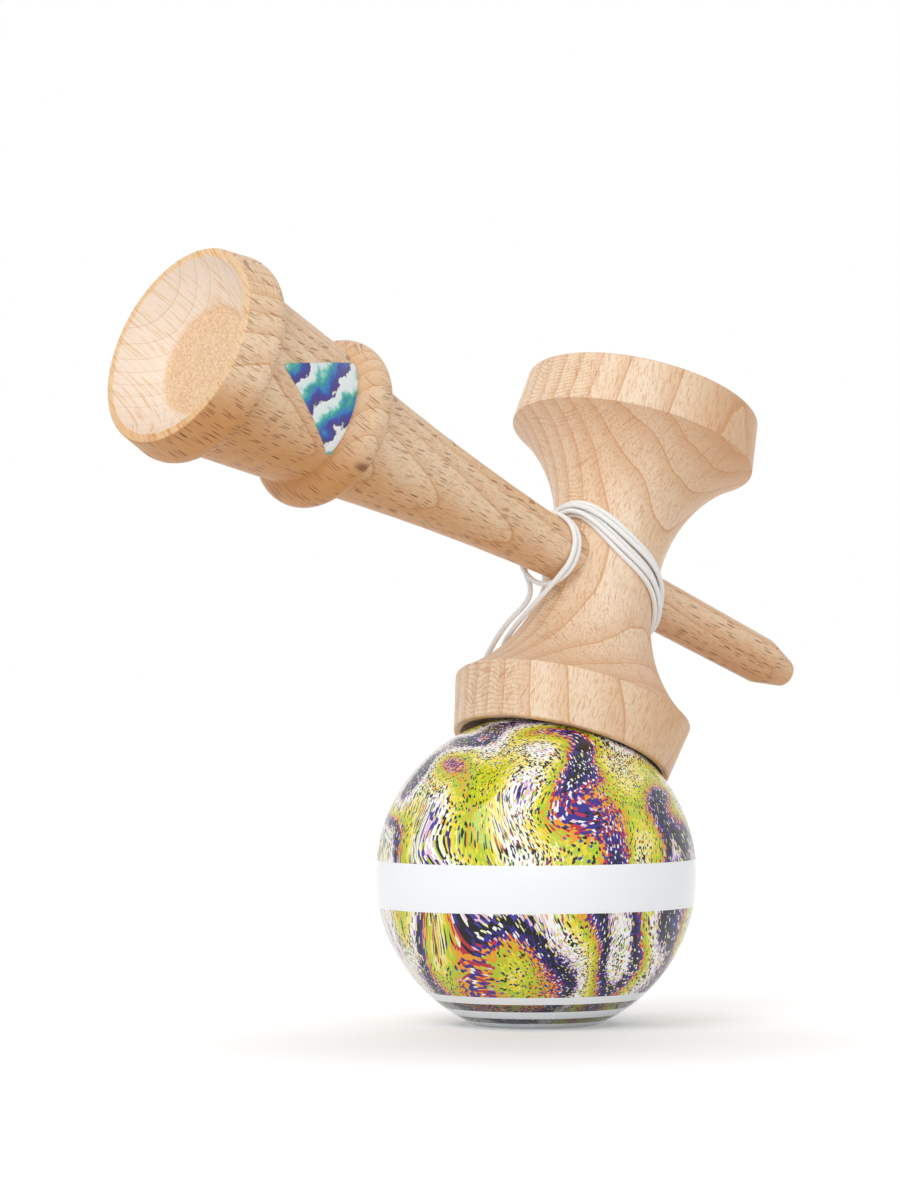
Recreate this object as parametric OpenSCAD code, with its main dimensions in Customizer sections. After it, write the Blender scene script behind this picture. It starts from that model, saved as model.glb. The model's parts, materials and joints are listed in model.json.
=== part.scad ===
// Kendama at rest: the handle, a ken pushed through a sarado, leans on the tama with its
// small cup, and the string is wound round the waist of the sarado and round the ken.
// Origin: centre of the tama's foot, on the surface it stands on. +Z up, +X towards the
// side that the spike points to, +Y away from the viewer. Millimetres.

/* [Tama] */
// Diameter of the ball
tama_d = 60.5; // [54:0.5:70]
// Diameter of the flat foot round the spike hole
foot_d = 22.7; // [22.2:0.1:26]
// Diameter of the spike hole
spike_hole_d = 20; // [16:0.5:20.5]
// Depth of the spike hole
spike_hole_depth = 37; // [25:0.5:38]
// Bevel at the mouth of the spike hole
hole_bevel = 0.4; // [0.2:0.1:0.8]
// Diameter of the string hole in the top of the ball
top_hole_d = 4; // [2:0.5:6]
// Bevel at the mouth of the string hole
top_bevel = 0.6; // [0.2:0.1:1]

/* [Sarado] */
// From the axis of the ken to the rim of the big cup
big_h = 36.8; // [32:0.2:44]
// Outside diameter of the big cup at its rim
big_rim_d = 45.5; // [42:0.5:50]
// Diameter at the ridge under the big cup
big_ridge_d = 47.5; // [44:0.5:54]
// Height of the band between the big rim and its ridge
big_band = 10; // [6:0.5:14]
// From the axis of the ken to the rim of the small cup
small_h = 37; // [32:0.2:44]
// Outside diameter of the small cup at its rim
small_rim_d = 41.8; // [40:0.2:46]
// Diameter at the ridge over the small cup
small_ridge_d = 45.8; // [42:0.2:52]
// Height of the band between the small rim and its ridge
small_band = 10.5; // [6:0.5:14]
// Diameter of the waist
waist_d = 21.4; // [18:0.2:26]
// Length of the straight part of the waist
waist_land = 5; // [2:0.5:8]
// Width of the flat rim of each cup
rim_w = 1.2; // [0.8:0.1:2]
// Depth of the two cups
cup_depth = 11; // [9:0.5:14]
// Diameter of the flat floor of the two cups
cup_floor_d = 20; // [14:0.5:24]

/* [Ken] */
// From the axis of the sarado to the rim of the base cup
base_reach = 110; // [95:1:130]
// From the axis of the sarado to the tip of the spike
tip_reach = 52.8; // [45:0.2:60]
// Outside diameter of the base cup at its rim
base_rim_d = 38; // [34:0.5:42]
// Diameter of the mouth of the base cup
base_mouth_d = 34.8; // [30:0.2:36]
// Depth of the base cup
base_depth = 7; // [5:0.5:10]
// Diameter of the flat floor of the base cup
base_floor_d = 19.8; // [14:0.2:22]
// Largest diameter of the head
head_d = 40.2; // [38:0.2:46]
// Length of the head
head_len = 9.6; // [8:0.2:12]
// Radius of the shoulder behind the head
shoulder_r = 3.2; // [2:0.2:4]
// Diameter of the neck behind the head
neck_d = 33.4; // [28:0.2:36]
// Diameter of the neck in front of the slip ring
neck_end_d = 27.2; // [24:0.2:30]
// Diameter of the slip ring
ring_d = 32.7; // [30:0.1:38]
// Radius of the slip ring's rounding
ring_r = 4.4; // [3.6:0.1:5]
// From the base rim to the middle of the slip ring
ring_pos = 36; // [32:0.5:42]
// Diameter of the shaft at the slip ring
shaft_d = 23.6; // [20:0.2:26]
// Diameter of the shaft where it enters the sarado
seat_d = 10.8; // [9.6:0.1:12]
// How far the taper of the shaft is hollowed
shaft_hollow = 0.65; // [0.2:0.05:1.2]
// Diameter of the spike where it leaves the sarado
spike_d = 10; // [8.6:0.1:10.6]
// Diameter of the spike before its point
spike_end_d = 9.2; // [7.6:0.1:9.6]
// Length of the spike's point
point_len = 7.8; // [5:0.2:12]
// Diameter of the blunt end of the point
point_d = 5; // [3:0.2:7]
// Rounding of the blunt end
point_round = 1.6; // [0.6:0.1:2]

/* [String and bead] */
// Diameter of the string
string_d = 1; // [0.8:0.05:1.2]
// Turns of the string round the sarado
turns = 5; // [3:1:5]
// From the middle of the sarado to the string hole, towards the spike
cross_hole_x = 3; // [2:0.25:4]
// Diameter of the string hole through the ken and the back of the sarado
cross_hole_d = 2.4; // [2:0.1:3]
// Diameter of the bead inside the ball
bead_d = 9; // [7:0.5:10]
// Diameter of the string's knots
knot_d = 3.6; // [3:0.1:4]

/* [Sticker] */
// Length of the three-cornered sticker along the neck
sticker_len = 19.8; // [12:0.2:19.8]
// Width of the sticker at the slip ring
sticker_w = 18.6; // [10:0.2:20]
// From the base rim to the tip of the sticker
sticker_pos = 11.7; // [11:0.1:11.8]
// Thickness of the sticker
sticker_t = 0.15; // [0.1:0.05:0.3]

/* [Lean] */
// Lean of the handle towards its spike, in degrees
lean = 21.6; // [15:0.2:25]
// Lean of the handle away from the viewer, in degrees
tilt = 4.5; // [0:0.5:8]

/* [Clearances] */
// Between the rim of the small cup and the ball, on average
cup_gap = 1; // [0.8:0.05:1.2]
// How far the string under the rim moves the ball off the cup's axis
ball_shift = 0.9; // [0.6:0.1:1]
// Between the ken and its seat in the sarado
seat_gap = 0.05; // [0.02:0.01:0.1]
// Between the bead and its pocket
bead_gap = 0.15; // [0.1:0.05:0.4]
// Between the string and the wood that it lies on
lay_gap = 0.3; // [0.25:0.05:0.4]
// Between neighbouring turns of the string
turn_gap = 0.45; // [0.42:0.01:0.6]
// Thickness of the glue under the sticker
glue = 0.02; // [0.01:0.01:0.05]
// Rounding of the turned edges
edge_r = 0.5; // [0.3:0.1:0.6]

/* [Hidden] */
$fn = 128;

beech = "burlywood";
far = 400;
arc_steps = 6;

// Ball: heights over the foot
tama_r = tama_d / 2;
tama_z = sqrt(pow(tama_r, 2) - pow(foot_d / 2, 2));
top_z = tama_z + tama_r;
string_top = top_z + top_bevel;
drill = 59;
drill_start = 1;

// Bead and its knot: over the end of the spike hole, in a pocket that the bead turns in
pocket_play = 1.1;
thread_play = 0.8;
knot_trim = 0.2;
knot_gap = 0.05;
knot_clear = 0.5;
knot_flat = knot_d / 2 - knot_trim;
bead_hole_d = string_d + thread_play;
bead_knot_z = spike_hole_depth + knot_clear + knot_d / 2;
bead_z = bead_knot_z + knot_d / 2 + knot_gap + sqrt(pow(bead_d / 2, 2) - pow(bead_hole_d / 2, 2));
pocket_r = bead_d / 2 + pocket_play;
pocket_z = spike_hole_depth + (spike_hole_d / 2 - pocket_r) / tan(drill);
pocket_end = bead_z + (bead_d / 2 + bead_gap) / sin(drill) - pocket_r / tan(drill);
top_hole_z = pocket_end + (pocket_r - top_hole_d / 2) / tan(drill);

// Sarado: radii and flares, about the crossing of its axis and the ken's
waist_r = waist_d / 2;
land = waist_land / 2;
big_ridge_z = big_h - big_band;
small_ridge_z = small_h - small_band;
function flare_radius(rise, out) = (rise * rise + out * out) / (2 * out);
big_flare = flare_radius(big_ridge_z - land, big_ridge_d / 2 - waist_r);
small_flare = flare_radius(small_ridge_z - land, small_ridge_d / 2 - waist_r);
function waist_at(z) =
    let (f = z > 0 ? big_flare : small_flare, d = max(abs(z) - land, 0))
    waist_r + f - sqrt(f * f - d * d);
small_mouth_r = small_rim_d / 2 - rim_w;

// Ken: places along its axis from the axis of the sarado
ring_x = ring_pos - base_reach;
seat_show = 1.3;
seat_x = waist_r + seat_show;
neck_x = head_len - base_reach;
ring_centre_r = ring_d / 2 - ring_r;
ring_reach = sqrt(pow(ring_r, 2) - pow(neck_end_d / 2 - ring_centre_r, 2));
shaft_x = ring_x + sqrt(pow(ring_r, 2) - pow(shaft_d / 2 - ring_centre_r, 2));
point_x = tip_reach - point_len;
function seat_r(x) = seat_d / 2 + (spike_d - seat_d) / 2 * (x + seat_x) / (2 * seat_x);
chord = [-seat_x - shaft_x, (seat_d - shaft_d) / 2];
hollow_r = (chord * chord / 4 + shaft_hollow * shaft_hollow) / (2 * shaft_hollow);
hollow_side = [-chord.y, chord.x] / norm(chord);
hollow_centre = [shaft_x, shaft_d / 2] + chord / 2 + hollow_side * (hollow_r - shaft_hollow);
function shaft_r(x) = hollow_centre.y - sqrt(pow(hollow_r, 2) - pow(x - hollow_centre.x, 2));
function neck_r(x) =
    neck_d / 2 + (neck_end_d - neck_d) / 2 * (x - neck_x) / (ring_x - ring_reach - neck_x);

// Seat of the small cup on the ball, as seen from the sarado
lead_side = 90;
cup_reach = small_h + sqrt(pow(tama_r + cup_gap, 2) - pow(small_mouth_r, 2));
ball_at = [-ball_shift * cos(lead_side), -ball_shift * sin(lead_side), -cup_reach];

// Winding: turns tilted over the ken and under the spike, then turns round the ken
pitch = string_d + turn_gap;
lay = string_d / 2 + lay_gap;
loop_rings = 24;
string_sides = 6;
over_ken = 8.7;
under_spike = 8.4;
front_slope = 4.35;
front_rise = 1.7;
back_rise = -2.5;
stack = 57;
first_turn = 2;
turn_r = waist_r + lay;
cross_a = acos(cross_hole_x / turn_r);
function stacking(a) = stack * pow(cos(a), 2);
function swing(a) =
    let (side = cos(a) > 0 ? under_spike : over_ken)
    -cos(a) * (front_slope + (side - front_slope) * pow(cos(a), 2));
function behind(a) = pow((1 + sin(a)) / 2, 2);
function middle(a) = front_rise * (1 - behind(a)) + back_rise * behind(a) + swing(a);
function climb(a) = (middle(a + 1) - middle(a - 1)) * 90 / PI / turn_r;
function spacing(a) = pitch * cos(stacking(a)) * sqrt(1 + pow(climb(a), 2));
function turn_z(a) = middle(a) + (first_turn - (a - cross_a) / 360) * spacing(a);
function layer(a) = floor((a - cross_a) / 360) % 2 == 1 ? pitch * sin(stacking(a)) : 0;
function waist_slope(z) =
    let (f = z > 0 ? big_flare : small_flare, d = max(abs(z) - land, 0))
    sign(z) * d / sqrt(f * f - d * d);
function lying_on(a, z, off) =
    let (s = waist_slope(z), n = [1, -s] / norm([1, s]), r = waist_at(z) + off * n.x)
    [r * cos(a), r * sin(a), z + off * n.y];
function turn_point(a) = lying_on(a, turn_z(a), lay + layer(a));

last_a = 360 * turns;
drop_a = 118;
drop_z = -18.6;
function drop_point(k) =
    let (s = k * k * (3 - 2 * k))
    lying_on(drop_a * k, turn_z(last_a) * (1 - s) + drop_z * s, lay);

ken_turn_gap = 3.6;
ken_turn_x = -seat_x - ken_turn_gap;
ken_turn_lean = 2;
ken_turn_side = 60;
ken_turn_sag = 1.2;
ken_from = 45;
ken_to = 610;
function ken_point(a) =
    let (x = ken_turn_x + ken_turn_lean * cos(a - ken_turn_side) + pitch * (a - ken_from) / 360,
        r = shaft_r(x) + lay + ken_turn_sag * pow(max(cos(a), 0), 2))
    [x, -r * sin(a), -r * cos(a)];

function unit(v) = v / norm(v);
function bezier(a, b, c, d, k) =
    a * pow(1 - k, 3) + 3 * b * k * pow(1 - k, 2) + 3 * c * k * k * (1 - k) + d * pow(k, 3);
function heading(from, to, reach) = reach * unit(to - from);

step = 360 / loop_rings;
start_points = [[cross_hole_x, waist_r, 0], [cross_hole_x, waist_r + string_d, 0]];
start_pull = 6.5;
join_pull = 8;
turn_from = cross_a + 70;
start_steps = 12;
start_bend = [for (i = [1:start_steps - 1]) bezier(
    start_points[1], start_points[1] + [0, start_pull, 0],
    turn_point(turn_from) + heading(turn_point(turn_from + 1), turn_point(turn_from), join_pull),
    turn_point(turn_from), i / start_steps)];
sarado_turns = [for (a = [turn_from:step:last_a]) turn_point(a)];
drop_steps = 8;
drop_turn = [for (i = [1:drop_steps]) drop_point(i / drop_steps)];
leave_pull = 7;
cross_pull = 8;
cross_steps = 10;
crossing = [for (i = [1:cross_steps - 1]) bezier(
    drop_point(1), drop_point(1) + heading(drop_point(0.99), drop_point(1), leave_pull),
    ken_point(ken_from) + heading(ken_point(ken_from + 1), ken_point(ken_from), cross_pull),
    ken_point(ken_from), i / cross_steps)];
ken_turns = [for (a = [ken_from:step:ken_to]) ken_point(a)];
ken_end = ken_point(ken_to);
ken_heading = unit(ken_point(ken_to) - ken_point(ken_to - 1));
winding = concat(start_points, start_bend, sarado_turns, drop_turn, crossing, ken_turns,
    [ken_end + string_d * ken_heading]);

// Route of the string from the ken, down behind the sarado, under the rim and over the ball
lead_points = [
    [-14.9, 6.9, -1.4], [-14, 6, -4.4], [-13.3, 4.6, -7], [-13.1, 4.2, -9.4], [-13.5, 5, -11.7],
    [-13.9, 6.5, -13.6], [-13.8, 8.5, -15.6], [-13.1, 11, -17.8], [-11.6, 14.2, -20.2], [-9.6, 17.4, -22.4],
    [-7.6, 19.8, -23.6], [-5.8, 21.6, -24.4], [-4.2, 24.6, -27.4], [-2.6, 26.4, -31], [-1.2, 27.4, -35],
    [-0.4, 27.7, -39.2], [0, 26.9, -41.4], [0.2, 25.1, -42.2], [0.2, 23.3, -41.4], [0.1, 21.7, -39.9],
    [-0.1, 20, -38.3], [-0.6, 18.6, -36.9], [-1.8, 16, -34.4], [-3.6, 12.6, -31.9], [-6.2, 9.4, -30.1],
    [-8.8, 6.6, -29.2], [-11.2, 4, -28.9], [-12.5, 1.4, -28.9], [-12.8, -0.9, -29.2], [-12.6, -2.2, -29.6],
    [-12.2, -2.95, -30.5]];
lead_rings = 3;

function last(p) = p[len(p) - 1];
function catmull(a, b, c, d, k) = 0.5 * (2 * b + (c - a) * k + (2 * a - 5 * b + 4 * c - d) * k * k
    + (3 * b - a - 3 * c + d) * pow(k, 3));
function smooth_path(p, n) = concat([for (i = [0:len(p) - 2], j = [0:n - 1])
    catmull(p[max(i - 1, 0)], p[i], p[i + 1], p[min(i + 2, len(p) - 1)], j / n)], [last(p)]);

// Least gap of a string to itself, between points that lie further apart along it
near_rings = 6;
function self_gap(p, d) = min([for (i = [0:len(p) - 1]) for (j = [i + near_rings:1:len(p) - 1])
    norm(p[i] - p[j])]) - d;

// Solid string through the points of a path, with flat ends
lead_sides = 8;
side_hint = [0.3, 0.5, 0.8];
function tangents(p) =
    [for (i = [0:len(p) - 1]) unit(p[min(i + 1, len(p) - 1)] - p[max(i - 1, 0)])];
function across(v, t) = unit(v - (v * t) * t);
function normals(t) = [for (i = 0, v = across(side_hint, t[0]); i < len(t);
    i = i + 1, v = i < len(t) ? across(v, t[i]) : v) v];

module string_along(path, d, sides) {
    t = tangents(path);
    n = normals(t);
    points = [for (i = [0:len(path) - 1], j = [0:sides - 1])
        path[i] + d / 2 * (cos(360 * j / sides) * n[i] + sin(360 * j / sides) * cross(t[i], n[i]))];
    walls = [for (i = [0:len(path) - 2], j = [0:sides - 1], half = [0, 1])
        let (a = i * sides + j, b = i * sides + (j + 1) % sides)
        half == 0 ? [a, a + sides, b] : [b, a + sides, b + sides]];
    first_cap = [for (j = [1:sides - 2]) [0, j, j + 1]];
    end = (len(path) - 1) * sides;
    end_cap = [for (j = [1:sides - 2]) [end, end + j + 1, end + j]];
    polyhedron(points, concat(walls, first_cap, end_cap));
}

// Points of an outline with each corner [x, y, radius] rounded
function corner(a, b, c, r) =
    let (u = unit(a - b), v = unit(c - b), half = acos(u * v) / 2, m = b + unit(u + v) * r / sin(half),
        from = b + u * r / tan(half) - m, side = sign(cross(u, v)), sweep = 180 - 2 * half)
    [for (i = [0:arc_steps]) let (w = -side * sweep * i / arc_steps)
        m + [from.x * cos(w) - from.y * sin(w), from.x * sin(w) + from.y * cos(w)]];
function xy(p) = [p.x, p.y];
function rounded(p) = [for (i = [0:len(p) - 1])
    let (a = p[(i + len(p) - 1) % len(p)], c = p[(i + 1) % len(p)])
    each p[i].z > 0 ? corner(xy(a), xy(p[i]), xy(c), p[i].z) : [xy(p[i])]];

// Hollow of a turned cup that opens at height 0: part of a ball over a flat floor
module cup_hollow(mouth_r, floor_r, depth) {
    centre = (mouth_r * mouth_r - floor_r * floor_r - depth * depth) / (2 * depth);
    r = norm([mouth_r, centre]);
    intersection() {
        translate([0, centre]) circle(r);
        translate([0, -depth]) square([far, depth + rim_w]);
    }
}

// Places the handle on the ball, from the crossing of the sarado's axis and the ken's
module on_ball() {
    translate([0, 0, tama_z]) rotate([-tilt, lean, 0]) translate(-ball_at) children();
}

module along_ken() {
    rotate([0, 90, 0]) children();
}

// Point of the sky over the ball, as seen from the sarado
sky = [-sin(lean), -cos(lean) * sin(tilt), cos(lean) * cos(tilt)];
string_mouth = ball_at + sky * (string_top - tama_z);

module tama() {
    color("yellowgreen") rotate_extrude() difference() {
        intersection() {
            translate([0, tama_z]) circle(tama_r);
            square([far, far]);
        }
        polygon([
            [0, -drill_start], [spike_hole_d / 2 + hole_bevel + drill_start, -drill_start],
            [spike_hole_d / 2, hole_bevel],
            [spike_hole_d / 2, spike_hole_depth], [pocket_r, pocket_z], [pocket_r, pocket_end],
            [top_hole_d / 2, top_hole_z], [top_hole_d / 2, top_z - top_bevel],
            [top_hole_d / 2 + 2 * top_bevel, top_z + top_bevel], [0, top_z + top_bevel]]);
    }
}

module tama_bead() {
    color("white") translate([0, 0, bead_z]) rotate_extrude() difference() {
        intersection() {
            circle(bead_d / 2);
            translate([0, -bead_d / 2]) square(bead_d);
        }
        translate([0, -bead_d / 2]) square([bead_hole_d / 2, bead_d]);
    }
}

module knot() {
    intersection() {
        sphere(knot_d / 2);
        translate([0, 0, knot_flat - knot_d / 2]) cube(knot_d, center = true);
    }
}

module bead_knot() {
    color("white") translate([0, 0, bead_knot_z]) knot();
}

module string_bead_end() {
    from = bead_knot_z + knot_flat;
    color("white") translate([0, 0, from]) cylinder(h = string_top - from, d = string_d);
}

module sarado_profile() {
    difference() {
        polygon(rounded([
            [0, -small_h, 0], [small_rim_d / 2, -small_h, edge_r], [small_ridge_d / 2, -small_ridge_z, edge_r],
            [waist_r, 0, 0], [big_ridge_d / 2, big_ridge_z, edge_r], [big_rim_d / 2, big_h, edge_r],
            [0, big_h, 0]]));
        translate([waist_r, -land]) square([far, waist_land]);
        translate([waist_r + big_flare, land]) circle(big_flare, $fn = 4 * $fn);
        translate([waist_r + small_flare, -land]) circle(small_flare, $fn = 4 * $fn);
        translate([0, big_h]) cup_hollow(big_rim_d / 2 - rim_w, cup_floor_d / 2, cup_depth);
        translate([0, -small_h]) mirror([0, 1]) cup_hollow(small_mouth_r, cup_floor_d / 2, cup_depth);
    }
}

module sarado() {
    bore_x = seat_x + seat_show;
    color(beech) on_ball() difference() {
        rotate_extrude() sarado_profile();
        along_ken() translate([0, 0, -bore_x])
            cylinder(h = 2 * bore_x, r1 = seat_r(-bore_x) + seat_gap, r2 = seat_r(bore_x) + seat_gap);
        translate([cross_hole_x, 0, 0]) rotate([-90, 0, 0]) cylinder(h = far, d = cross_hole_d);
    }
}

// Outline of the ken, x along its axis from the base cup to the tip
module ken_profile() {
    difference() {
        polygon(rounded([
            [-base_reach, 0, 0], [-base_reach, base_rim_d / 2, edge_r],
            [neck_x - shoulder_r - edge_r, head_d / 2, 2 * edge_r],
            [neck_x, head_d / 2, shoulder_r], [neck_x, neck_d / 2, 0],
            [ring_x, max(neck_r(ring_x), shaft_r(ring_x)), 0], [-seat_x, seat_d / 2, 0],
            [seat_x, spike_d / 2, 0], [point_x, spike_end_d / 2, 2 * point_round],
            [tip_reach, point_d / 2, point_round], [tip_reach, 0, 0]]));
        intersection() {
            translate(hollow_centre) circle(hollow_r, $fn = 16 * $fn);
            translate([ring_x, 0]) square([-seat_x - ring_x, far]);
        }
        translate([-base_reach, 0]) rotate(-90) mirror([1, 0]) mirror([0, 1])
            cup_hollow(base_mouth_d / 2, base_floor_d / 2, base_depth);
    }
}

module turned_on_x() {
    along_ken() rotate_extrude() rotate(90) mirror([0, 1]) children();
}

module ken() {
    knot_pocket_d = knot_d + thread_play;
    color(beech) on_ball() difference() {
        union() {
            turned_on_x() ken_profile();
            turned_on_x() translate([ring_x, ring_centre_r]) circle(ring_r);
        }
        translate([cross_hole_x, 0, 0]) rotate([90, 0, 0]) cylinder(h = far, d = cross_hole_d, center = true);
        translate([cross_hole_x, -seat_r(cross_hole_x) + knot_d + lay_gap / 2, 0]) rotate([90, 0, 0])
            cylinder(h = far, d = knot_pocket_d);
    }
}

module ken_sticker() {
    sticker_turn = 2.5;
    shell = [for (x = [neck_x, ring_x - ring_reach]) [x, neck_r(x) + glue]];
    outer = [for (p = [shell[1], shell[0]]) p + [0, sticker_t]];
    color("steelblue") on_ball() intersection() {
        turned_on_x() polygon(concat(shell, outer));
        translate([sticker_pos - base_reach, 0, 0]) rotate([90 + sticker_turn, 0, 0]) linear_extrude(far)
            polygon(rounded([[0, 0, edge_r], [sticker_len, -sticker_w / 2, edge_r],
                [sticker_len, sticker_w / 2, edge_r]]));
    }
}

knot_y = -seat_r(cross_hole_x) + knot_d / 2 + lay_gap / 2;

module ken_knot() {
    color("white") on_ball() translate([cross_hole_x, knot_y, 0]) rotate([-90, 0, 0]) knot();
}

module string_ken_end() {
    from = knot_y + knot_flat;
    color("white") on_ball() translate([cross_hole_x, from, 0]) rotate([-90, 0, 0])
        cylinder(h = winding[0].y - from, d = string_d);
}

module string_winding() {
    echo(least_gap_of_the_winding_to_itself = self_gap(winding, string_d));
    color("white") on_ball() string_along(winding, string_d, string_sides);
}

module string_lead() {
    route = smooth_path(concat([last(winding)], lead_points, [string_mouth + sky * string_d]), lead_rings);
    color("white") on_ball() string_along(concat(route, [string_mouth]), string_d, lead_sides);
}

tama();
tama_bead();
bead_knot();
string_bead_end();
sarado();
ken();
ken_sticker();
ken_knot();
string_ken_end();
string_winding();
string_lead();
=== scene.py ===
# A kendama at rest: its handle leans on the lacquered ball with the small cup, and the white string is wound
# round the waist of the crosspiece. Turned beech, a marbled ball, a braided string and a small label.
import json
import math
from collections import namedtuple

import bmesh
import bpy
from mathutils import Matrix, Quaternion, Vector


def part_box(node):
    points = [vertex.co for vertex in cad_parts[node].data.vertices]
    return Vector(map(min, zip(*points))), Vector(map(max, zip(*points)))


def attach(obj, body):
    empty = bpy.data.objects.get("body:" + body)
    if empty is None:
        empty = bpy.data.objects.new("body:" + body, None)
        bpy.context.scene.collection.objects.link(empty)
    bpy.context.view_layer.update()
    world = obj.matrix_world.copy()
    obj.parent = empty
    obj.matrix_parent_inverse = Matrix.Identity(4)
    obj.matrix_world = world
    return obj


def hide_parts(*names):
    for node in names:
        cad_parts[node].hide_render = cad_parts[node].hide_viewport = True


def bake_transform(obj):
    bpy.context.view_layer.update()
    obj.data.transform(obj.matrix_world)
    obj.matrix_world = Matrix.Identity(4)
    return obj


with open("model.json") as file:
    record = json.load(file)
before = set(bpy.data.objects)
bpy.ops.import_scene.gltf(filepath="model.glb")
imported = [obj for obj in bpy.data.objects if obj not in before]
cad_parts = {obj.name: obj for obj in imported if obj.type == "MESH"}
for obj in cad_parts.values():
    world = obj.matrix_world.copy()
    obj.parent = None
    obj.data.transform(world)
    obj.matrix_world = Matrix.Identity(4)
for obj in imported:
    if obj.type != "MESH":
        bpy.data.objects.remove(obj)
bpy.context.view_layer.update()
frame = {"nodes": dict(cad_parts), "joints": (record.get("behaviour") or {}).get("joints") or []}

# Place of the handle: the axis of the spindle (fore, towards the spike) crosses the axis of the crosspiece
# (up, towards the big cup). Both axes come from the joints, and the crossing from the crosspiece's own shape.
# Places on the handle are given in millimetres from the crossing.
MM = 0.001
joint_axes = {joint["name"]: Vector(joint["axis"]).normalized() for joint in frame["joints"]}
handle_up = joint_axes["cup_lift"]
handle_fore = -joint_axes["ken_pull"]
handle_side = handle_up.cross(handle_fore)
small_cup_reach = 37
sarado_corners = [vertex.co for vertex in frame["nodes"]["sarado"].data.vertices]
handle_centre = Vector((0, 0, 0))
for axis in (handle_fore, handle_side):
    along = [corner.dot(axis) for corner in sarado_corners]
    handle_centre += axis * (min(along) + max(along)) / 2
lowest = min(corner.dot(handle_up) for corner in sarado_corners)
handle_centre += handle_up * (lowest + small_cup_reach * MM)


def on_handle(x, y, z):
    return handle_centre + (handle_fore * x + handle_side * y + handle_up * z) * MM


# Camera: a long lens a little above the table, about 40 degrees to the left of the front and rolled by a
# fraction of a degree, as the photograph was taken.
camera_place = Vector((-0.6061, -0.6879, 0.0693))
camera_target = Vector((-0.0120, 0.0105, 0.0799))
camera_roll = math.radians(-0.28)
camera_data = bpy.data.cameras.new("camera")
camera_data.lens = 146
camera_data.sensor_width = 36
camera = bpy.data.objects.new("camera", camera_data)
bpy.context.scene.collection.objects.link(camera)
camera.rotation_mode = "QUATERNION"
camera.location = camera_place
camera.rotation_quaternion = (camera_target - camera_place).to_track_quat("-Z", "Y") @ Quaternion(
    (0, 0, 1), camera_roll)
bpy.context.scene.camera = camera

# String on the crosspiece: one fine braided polyester cord. It comes out of the back of the waist, is wound
# five times round it, over the spindle and under the spike, and then goes loosely round the spindle.
string_d = 1.0
strand_gap = 0.2
lay_gap = 0.06
turns = 5
waist_r = 10.7
waist_land = 2.5
big_flare_r = 29.16
small_flare_r = 29.7
cross_hole_x = 3
over_ken = 8.3
under_spike = 7.9
front_slope = 4.35
front_rise = 1.7
back_rise = -2.5
side_stack = math.radians(62)
front_stack = math.radians(35)
first_turn = 2
unevenness = 0.25
uneven_rate = 0.15
uneven_start = 1.25
pitch = string_d + strand_gap
lay = string_d / 2 + lay_gap
turn_r = waist_r + lay
cross_angle = math.acos(cross_hole_x / turn_r)


def lying_on_waist(angle, z, off):
    flare = big_flare_r if z > 0 else small_flare_r
    rise = max(abs(z) - waist_land, 0)
    sunk = math.sqrt(flare * flare - rise * rise)
    out = Vector((1, -math.copysign(rise / sunk, z))).normalized()
    r = waist_r + flare - sunk + off * out.x
    return Vector((r * math.cos(angle), r * math.sin(angle), z + off * out.y))


def middle_height(angle):
    across = math.cos(angle)
    side = under_spike if across > 0 else over_ken
    swing = -across * (front_slope + (side - front_slope) * across * across)
    behind = ((1 + math.sin(angle)) / 2) ** 2
    return front_rise * (1 - behind) + back_rise * behind + swing


def stacking(angle):
    ahead = ((1 - math.sin(angle)) / 2) ** 2
    return side_stack * math.cos(angle) ** 2 + front_stack * ahead * math.sin(angle) ** 2


def turn_height(angle):
    nudge = 0.01
    climb = (middle_height(angle + nudge) - middle_height(angle - nudge)) / (2 * nudge * turn_r)
    spacing = pitch * math.cos(stacking(angle)) * math.sqrt(1 + climb * climb)
    turned = angle - cross_angle
    uneven = unevenness * math.sin(uneven_rate * turned + uneven_start) * math.sin(angle) ** 2
    return middle_height(angle) + (first_turn - turned / math.tau + uneven) * spacing


def turn_point(angle):
    upper = int((angle - cross_angle) // math.tau) % 2 == 1
    stacked = pitch * math.sin(stacking(angle)) if upper else 0
    return lying_on_waist(angle, turn_height(angle), lay + stacked)


drop_turn = math.radians(118)
drop_z = -18.6
last_turn = math.tau * turns


def drop_point(k):
    eased = k * k * (3 - 2 * k)
    return lying_on_waist(drop_turn * k, turn_height(last_turn) * (1 - eased) + drop_z * eased, lay)


ken_turn_x = -15.6
ken_turn_lean = 2
ken_turn_side = math.radians(60)
ken_turn_sag = 1.2
ken_turn_from = math.radians(45)
ken_turn_to = math.radians(610)
shaft_at = (-12, 5.4)
shaft_slope = -0.082


def ken_turn_point(angle):
    x = (ken_turn_x + ken_turn_lean * math.cos(angle - ken_turn_side)
         + pitch * (angle - ken_turn_from) / math.tau)
    r = shaft_at[1] + shaft_slope * (x - shaft_at[0]) + lay + ken_turn_sag * max(math.cos(angle), 0) ** 2
    return Vector((x, -r * math.sin(angle), -r * math.cos(angle)))


def bend_between(from_point, from_pull, to_point, to_pull, steps):
    points = []
    for i in range(1, steps):
        k = i / steps
        points.append(from_point * (1 - k) ** 3 + 3 * (from_point + from_pull) * k * (1 - k) ** 2
                      + 3 * (to_point + to_pull) * k * k * (1 - k) + to_point * k ** 3)
    return points


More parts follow.
